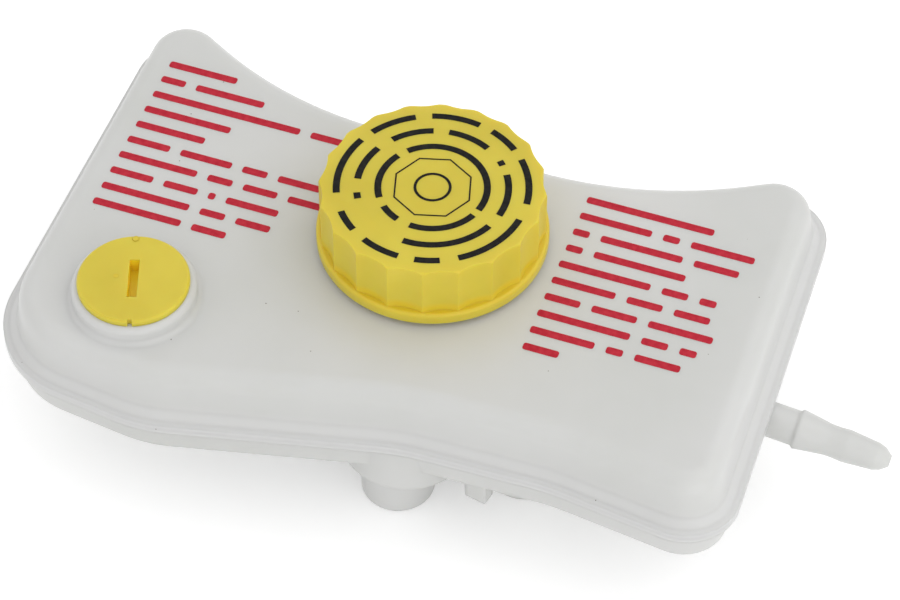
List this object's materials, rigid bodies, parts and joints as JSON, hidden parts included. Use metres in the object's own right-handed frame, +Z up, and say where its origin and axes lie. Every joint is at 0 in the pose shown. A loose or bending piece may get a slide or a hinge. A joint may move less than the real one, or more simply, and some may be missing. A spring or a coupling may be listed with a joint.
{
  "type": "brake_fluid_reservoir",
  "caption": "Translucent brake fluid reservoir with a waisted welded tank, a fluted yellow filler cap, a yellow blanking plug, port spigots and a hose nipple",
  "frame": {"origin": "on the axis of the first port spigot, halfway along it", "axes": "+Z up out of the filler neck, +X along the tank towards the hose nipple, +Y away from the spigot's long edge"},
  "size_m": [0.2164, 0.1212, 0.0646],
  "materials": {
    "tank": "milky translucent",
    "cap": "satin yellow",
    "plug": "satin yellow",
    "rubber": "matte black",
    "strainer": "natural"
  },
  "bodies": {
    "tank": {"upper_shell": "tank", "lower_shell": "tank", "inlet_strainer": "strainer"},
    "cap_seal": {"cap_diaphragm": "rubber"},
    "cap": {"filler_cap": "cap"},
    "plug_ring": {"plug_o_ring": "rubber"},
    "plug": {"blanking_plug": "plug"}
  },
  "joints": [
    {"name": "cap_lift", "type": "slide", "parent": "tank", "child": "cap_seal", "axis": [0, 0, 1], "range_m": [0, 0.006]},
    {"name": "cap_turn", "type": "hinge", "parent": "cap_seal", "child": "cap", "pos_m": [-0.0058, 0.0417, 0.0462], "axis": [0, 0, 1], "range_deg": [0, 540]},
    {"name": "plug_lift", "type": "slide", "parent": "tank", "child": "plug_ring", "axis": [0, 0, 1], "range_m": [0, 0.002]},
    {"name": "plug_turn", "type": "hinge", "parent": "plug_ring", "child": "plug", "pos_m": [-0.0673, 0.0003, 0.0412], "axis": [0, 0, 1], "range_deg": [0, 90]}
  ],
  "couplings": [
    {"joint": "cap_lift", "follows": "cap_turn", "m_per_rad": 0.00063662},
    {"joint": "plug_lift", "follows": "plug_turn", "m_per_rad": 0.0012732}
  ]
}
